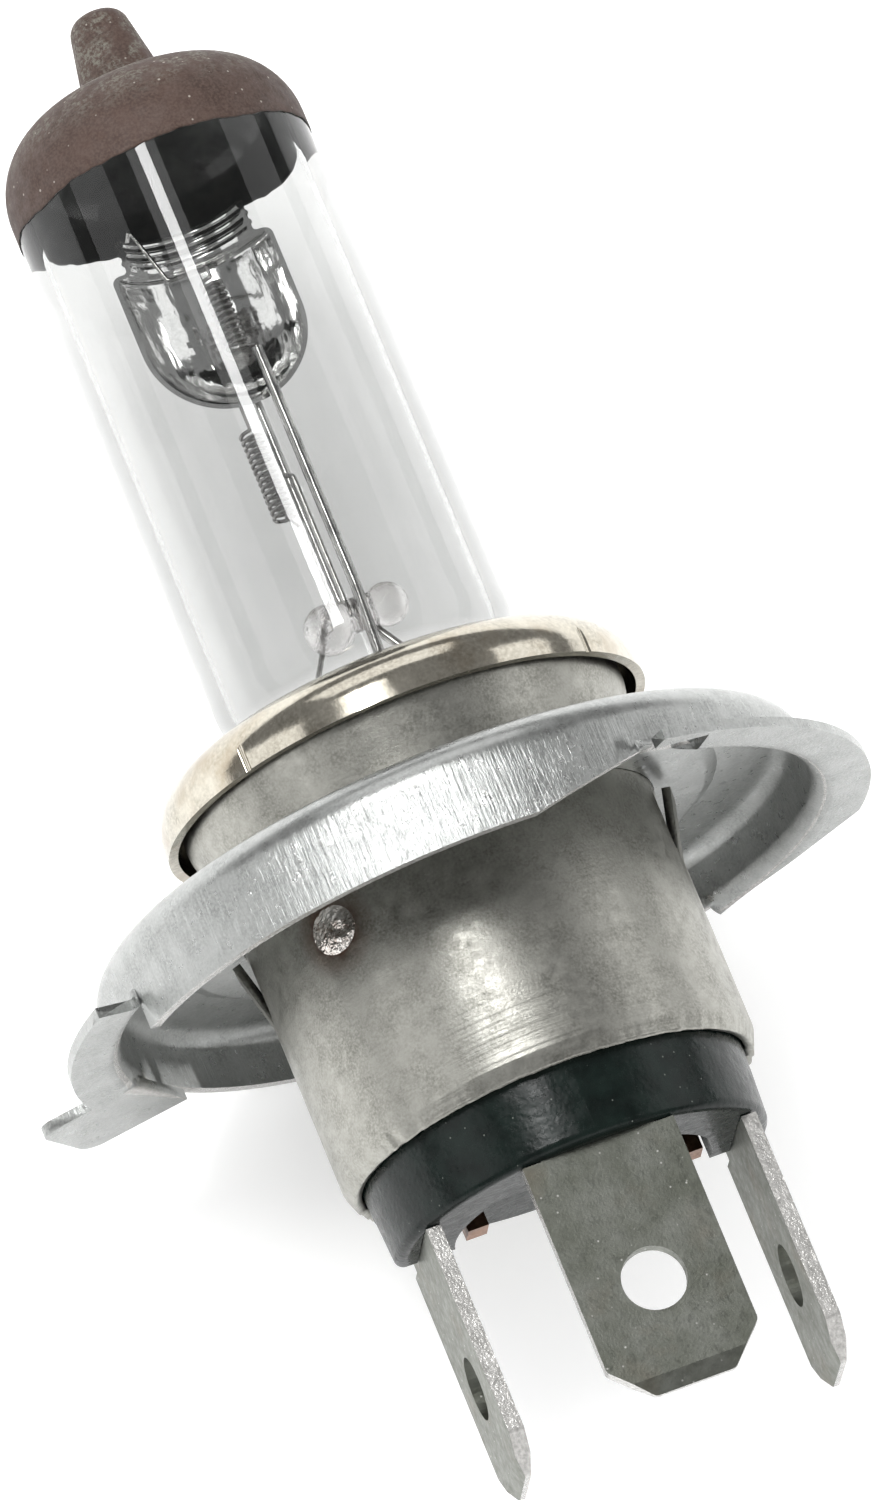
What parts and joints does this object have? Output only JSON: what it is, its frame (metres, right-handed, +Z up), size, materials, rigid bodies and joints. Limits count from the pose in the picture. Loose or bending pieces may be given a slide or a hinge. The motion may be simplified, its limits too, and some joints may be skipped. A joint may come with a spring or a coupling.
{
  "type": "headlight bulb",
  "caption": "Halogen headlight bulb: tubular glass with a painted tip and inner beam shield, collar, steel sleeve, prefocus flange with lugs, insulator and flat blades.",
  "frame": {"origin": "centre of the flange's reference plane, the plane of the lugs' seating faces", "axes": "+Y along the bulb's axis to the glass tip, +Z up as fitted in the lamp (the centre terminal's side), +X to the right"},
  "size_m": [0.044, 0.0808, 0.0386],
  "materials": {
    "clear_glass": "clear drawn quartz glass",
    "cap_paint": "matte brown heat-proof paint",
    "shield_metal": "bright molybdenum sheet",
    "filament": "coiled tungsten wire",
    "lead_metal": "drawn molybdenum wire",
    "foil": "thin molybdenum foil",
    "bead_glass": "fused glass bead",
    "polished_nickel": "polished nickel plating",
    "satin_steel": "satin stainless steel",
    "zinc_steel": "matte zinc-plated pressed steel",
    "weld_metal": "weld metal with a brown heat tint",
    "black_plastic": "moulded black heat-proof plastic",
    "blade_steel": "dull grey plated steel",
    "copper": "copper-brown metal"
  },
  "bodies": {
    "root": {"glass_envelope": "clear_glass", "cap_coating": "cap_paint", "dipped_beam_shield": "shield_metal", "dipped_beam_filament": "filament", "main_beam_filament": "filament", "common_lead_rod": "lead_metal", "main_beam_lead": "lead_metal", "shield_support": "lead_metal", "dipped_beam_wire": "lead_metal", "coil_hook": "lead_metal", "glass_bridge": "bead_glass", "lead_bead": "lead_metal", "collar_ring": "polished_nickel", "base_sleeve": "satin_steel", "weld_spots": "weld_metal", "flange_ring": "zinc_steel", "pinch_clamp": "satin_steel", "insulator": "black_plastic", "solder_joints": "weld_metal", "terminal_crimps": "copper", "centre_terminal": "blade_steel", "centre_outer_lead": "lead_metal", "centre_foil": "foil", "left_terminal": "blade_steel", "left_outer_lead": "lead_metal", "left_foil": "foil", "right_terminal": "blade_steel", "right_outer_lead": "lead_metal", "right_foil": "foil"}
  },
  "joints": []
}
